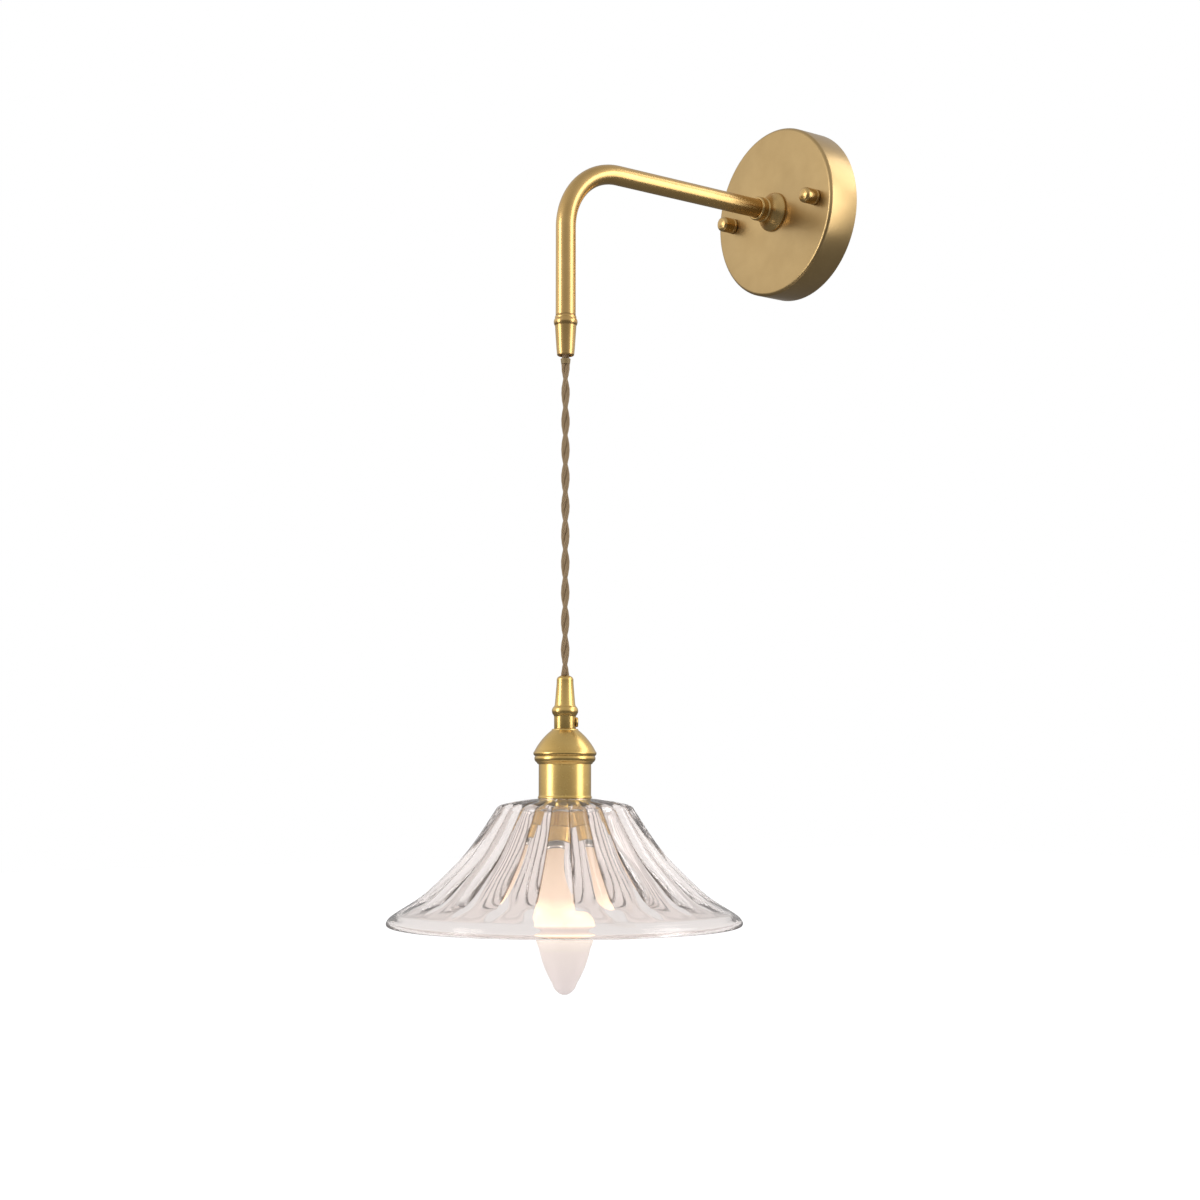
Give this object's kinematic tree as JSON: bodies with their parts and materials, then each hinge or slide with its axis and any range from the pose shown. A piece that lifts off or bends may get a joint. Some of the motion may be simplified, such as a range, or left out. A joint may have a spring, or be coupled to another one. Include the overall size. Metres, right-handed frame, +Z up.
{
  "type": "hanging pendant wall sconce",
  "caption": "Wall lamp with a round brass canopy, bent tube arm, twisted fabric cord, brass candle holder and a flared fluted glass shade.",
  "frame": {"origin": "centre of the canopy, on the wall's face", "axes": "+Y points into the wall, +Z up, the lamp stands out along -Y; +X is to the right for someone facing the wall"},
  "size_m": [0.206, 0.2916, 0.5469],
  "materials": {
    "satin_brass": "satin, brushed and clear-lacquered",
    "zinc_steel": "bright zinc-plated",
    "white_nylon": "moulded, semi-gloss",
    "white_sleeving": "matt, translucent",
    "porcelain": "glazed",
    "braided_fabric": "braided, matt",
    "clear_glass": "clear, fluted and polished",
    "frosted_glass": "acid-frosted, lit from inside",
    "nickel_plate": "bright nickel plate",
    "lead_insulation": "smooth",
    "solder": "dull",
    "filament": "phosphor coated",
    "clear_washer": "soft, translucent"
  },
  "bodies": {
    "fixture": {"wall_bracket": "zinc_steel", "bracket_studs": "zinc_steel", "stud_lock_nuts": "zinc_steel", "canopy": "satin_brass", "terminal_block": "white_nylon", "terminal_screws": "zinc_steel", "earth_screw": "zinc_steel", "arm_nipple": "zinc_steel", "arm_lock_nut": "zinc_steel", "arm_lock_washer": "zinc_steel", "arm_rosette": "satin_brass", "arm_grub_screw": "zinc_steel", "arm_tube": "satin_brass", "cord_grip_upper": "satin_brass", "arm_flex": "white_sleeving", "feed_leads": "lead_insulation"},
    "swivel": {"swivel_ring": "satin_brass"},
    "cord": {"pendant_cord": "braided_fabric", "cord_sleeve_upper": "white_sleeving"},
    "lamp_head": {"cord_grip_lower": "satin_brass", "head_clamp_screw": "satin_brass", "head_nipple": "zinc_steel", "head_lock_nut": "zinc_steel", "holder_dome": "satin_brass", "holder_shell": "satin_brass", "socket_insert": "porcelain", "screw_shell": "nickel_plate", "centre_contact": "nickel_plate", "socket_leads": "lead_insulation", "glass_shade": "clear_glass", "shade_washer": "clear_washer"},
    "shade_ring": {"shade_ring": "satin_brass"},
    "bulb": {"bulb_glass": "frosted_glass", "bulb_cap": "nickel_plate", "bulb_contact": "solder", "bulb_stem": "clear_glass", "bulb_filament": "filament"},
    "cap_nut_left": {"cap_nut_left": "satin_brass"},
    "cap_nut_right": {"cap_nut_right": "satin_brass"}
  },
  "joints": [
    {"name": "swing_fore_aft", "type": "hinge", "parent": "fixture", "child": "swivel", "pos_m": [0, -0.1886, -0.1152], "axis": [1, 0, 0], "range_deg": [-18, 12]},
    {"name": "swing_side", "type": "hinge", "parent": "swivel", "child": "cord", "pos_m": [0, -0.1886, -0.1152], "axis": [0, 1, 0], "range_deg": [-15, 15]},
    {"name": "head_twist", "type": "hinge", "parent": "cord", "child": "lamp_head", "pos_m": [0, -0.1886, -0.3186], "axis": [0, 0, 1], "range_deg": [-90, 90]},
    {"name": "shade_ring_turn", "type": "hinge", "parent": "lamp_head", "child": "shade_ring", "pos_m": [0, -0.1886, -0.39], "axis": [0, 0, 1], "range_deg": [0, 360]},
    {"name": "bulb_turn", "type": "hinge", "parent": "lamp_head", "child": "bulb", "pos_m": [0, -0.1886, -0.395], "axis": [0, 0, 1], "range_deg": [0, 360]},
    {"name": "cap_nut_left_turn", "type": "hinge", "parent": "fixture", "child": "cap_nut_left", "pos_m": [-0.04, -0.0225, 0], "axis": [0, 1, 0], "range_deg": [0, 360]},
    {"name": "cap_nut_right_turn", "type": "hinge", "parent": "fixture", "child": "cap_nut_right", "pos_m": [0.04, -0.0225, 0], "axis": [0, 1, 0], "range_deg": [0, 360]}
  ]
}
